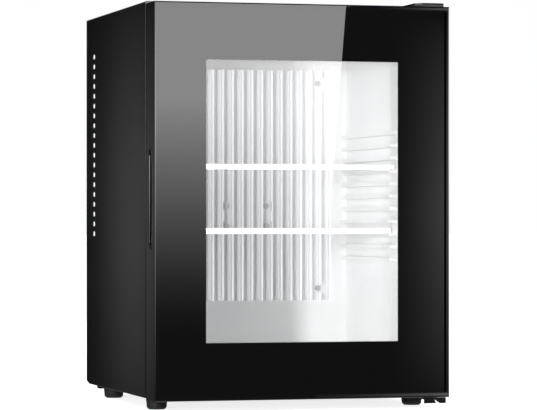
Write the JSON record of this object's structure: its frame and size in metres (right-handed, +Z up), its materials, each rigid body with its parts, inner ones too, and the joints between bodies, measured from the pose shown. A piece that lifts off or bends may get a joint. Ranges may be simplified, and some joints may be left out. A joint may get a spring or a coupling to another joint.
{
  "type": "glass door minibar fridge",
  "caption": "Small cabinet refrigerator with a framed glass door, glass shelves on moulded ridges, a ribbed cold plate and a fanless radiator at the open back.",
  "frame": {"origin": "middle of the footprint, on the floor that the feet stand on", "axes": "+Z up, door faces -Y, hinge side +X"},
  "size_m": [0.402, 0.426, 0.5378],
  "materials": {
    "black_sheet": "satin black powder coat",
    "gloss_black": "glossy black moulding",
    "white_plastic": "smooth white moulding",
    "frosted_plastic": "frosted lens",
    "black_plastic": "fine-grained black moulding",
    "bush_plastic": "plain bearing plastic",
    "foam": "rigid foam",
    "ceramic": "white ceramic faces",
    "galvanised_sheet": "zinc-coated sheet",
    "steel": "bright screw steel",
    "aluminium": "plain extruded aluminium",
    "copper": "drawn copper tube",
    "rubber": "hard black rubber",
    "gasket": "soft black seal",
    "glass": "clear float glass"
  },
  "bodies": {
    "cabinet": {"cabinet_shell": "black_sheet", "base_pan": "black_sheet", "insulation_foam": "foam", "inner_liner": "white_plastic", "back_panel": "galvanised_sheet", "cold_plate": "aluminium", "cold_plate_screws": "steel", "cold_block": "aluminium", "cooling_module": "ceramic", "hot_block": "aluminium", "heat_pipes": "copper", "radiator_fins": "aluminium", "radiator_brackets": "galvanised_sheet", "power_supply": "black_plastic", "power_inlet": "black_plastic", "rear_rail": "black_sheet", "foot_front_left": "rubber", "foot_front_right": "rubber", "foot_rear_left": "rubber", "foot_rear_right": "rubber", "top_hinge_plate": "black_sheet", "top_hinge_pin": "steel", "top_hinge_screws": "steel", "bottom_hinge_bracket": "black_sheet", "bottom_hinge_pin": "steel", "bottom_hinge_screws": "steel", "light_housing": "white_plastic", "light_lens": "frosted_plastic"},
    "door": {"door_frame": "gloss_black", "door_glass": "glass", "glass_spacer": "aluminium", "inner_glass": "glass", "inner_trim": "white_plastic", "door_gasket": "gasket", "top_door_bush": "bush_plastic", "bottom_door_bush": "bush_plastic"},
    "upper_shelf": {"upper_shelf_glass": "glass", "upper_shelf_trim": "white_plastic"},
    "lower_shelf": {"lower_shelf_glass": "glass", "lower_shelf_trim": "white_plastic"},
    "dial": {"thermostat_dial": "white_plastic"}
  },
  "joints": [
    {"name": "door_hinge", "type": "hinge", "parent": "cabinet", "child": "door", "pos_m": [0.187, -0.188, 0.27], "axis": [0, 0, 1], "range_deg": [0, 115]},
    {"name": "upper_shelf_slide", "type": "slide", "parent": "cabinet", "child": "upper_shelf", "axis": [0, -1, 0], "range_m": [0, 0.015]},
    {"name": "lower_shelf_slide", "type": "slide", "parent": "cabinet", "child": "lower_shelf", "axis": [0, -1, 0], "range_m": [0, 0.03]},
    {"name": "thermostat_turn", "type": "hinge", "parent": "cabinet", "child": "dial", "pos_m": [0.035, -0.125, 0.476], "axis": [0, -1, 0], "range_deg": [0, 270]}
  ]
}
